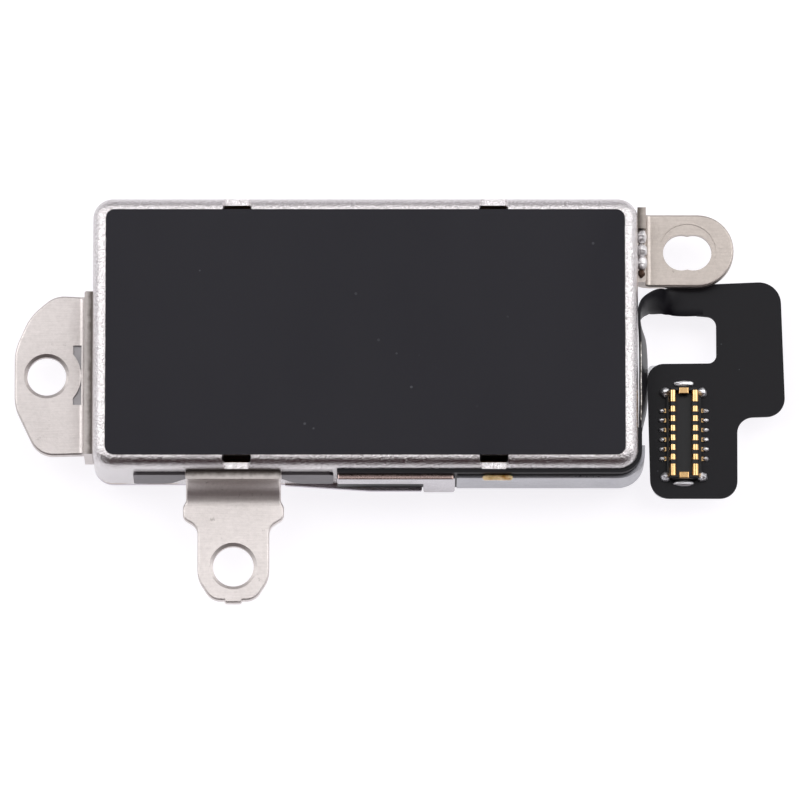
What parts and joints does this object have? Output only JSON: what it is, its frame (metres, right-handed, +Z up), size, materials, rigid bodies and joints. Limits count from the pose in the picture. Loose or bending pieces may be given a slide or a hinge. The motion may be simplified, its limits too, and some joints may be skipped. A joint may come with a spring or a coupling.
{
  "type": "linear haptic actuator",
  "caption": "Flat rectangular linear vibration motor: steel can with three mounting ears, black top film and a flex tail with a small board connector.",
  "frame": {"origin": "centre of the can's flat underside", "axes": "+X along the can towards the connector, +Y towards the can's back, +Z up through the film"},
  "size_m": [0.0349, 0.0182, 0.0045],
  "materials": {
    "can_steel": "bead-blasted nickel-plated steel sheet",
    "base_steel": "stamped steel sheet, satin",
    "bracket_steel": "nickel-plated stamped steel, satin",
    "weld_metal": "shiny resolidified weld",
    "film": "matte black adhesive film",
    "clip_steel": "bright stamped steel",
    "guard_steel": "grey satin steel strip",
    "amber_glue": "glossy amber bead",
    "flex_black": "black coverlay, semi-matte",
    "stiffener_steel": "thin stainless sheet",
    "header_black": "moulded black liquid-crystal polymer",
    "contact_gold": "gold-plated copper alloy",
    "solder": "bright tin solder",
    "circuit_amber": "polyimide film",
    "coil_copper": "enamelled copper wire winding",
    "chip_black": "moulded chip package",
    "weight_alloy": "sintered tungsten alloy",
    "magnet_plate": "nickel-plated neodymium magnet",
    "yoke_steel": "plated soft iron",
    "spring_steel": "spring stainless strip",
    "bumper_rubber": "soft black elastomer"
  },
  "bodies": {
    "case": {"top_cover": "can_steel", "base_plate": "base_steel", "cover_film": "film", "left_bracket": "bracket_steel", "front_bracket": "bracket_steel", "right_bracket": "bracket_steel", "weld_beads": "weld_metal", "front_clip": "clip_steel", "flex_guard": "guard_steel", "glue_bead": "amber_glue", "flex_wall_strip": "flex_black", "flex_loop": "flex_black", "inner_circuit": "circuit_amber", "coil_left": "coil_copper", "coil_right": "coil_copper", "coil_leads": "solder", "position_sensor": "chip_black", "spring_left": "spring_steel", "spring_right": "spring_steel", "anchor_plate_left": "yoke_steel", "anchor_plate_right": "yoke_steel", "end_bumper_left": "bumper_rubber", "end_bumper_right": "bumper_rubber"},
    "weight": {"weight_block": "weight_alloy", "yoke_plate": "yoke_steel", "magnet_1": "magnet_plate", "magnet_2": "magnet_plate", "magnet_3": "magnet_plate", "magnet_4": "magnet_plate", "weight_plate_left": "yoke_steel", "weight_plate_right": "yoke_steel"},
    "tail": {"flex_tail": "flex_black", "connector_stiffener": "stiffener_steel", "header_housing": "header_black", "signal_contacts": "contact_gold", "power_contacts": "contact_gold", "holddown_clips": "contact_gold", "solder_joints": "solder"}
  },
  "joints": [
    {"name": "weight_slide", "type": "slide", "parent": "case", "child": "weight", "axis": [1, 0, 0], "range_m": [-0.0008, 0.0008], "stiffness_N_per_m": 1000, "deforming": ["spring_left", "spring_right"]},
    {"name": "tail_flex", "type": "hinge", "parent": "case", "child": "tail", "pos_m": [0.0126, 0, 0.00154], "axis": [0, 1, 0], "range_deg": [-2, 12], "stiffness_Nm_per_rad": 0.0005, "deforming": ["flex_loop"]}
  ]
}
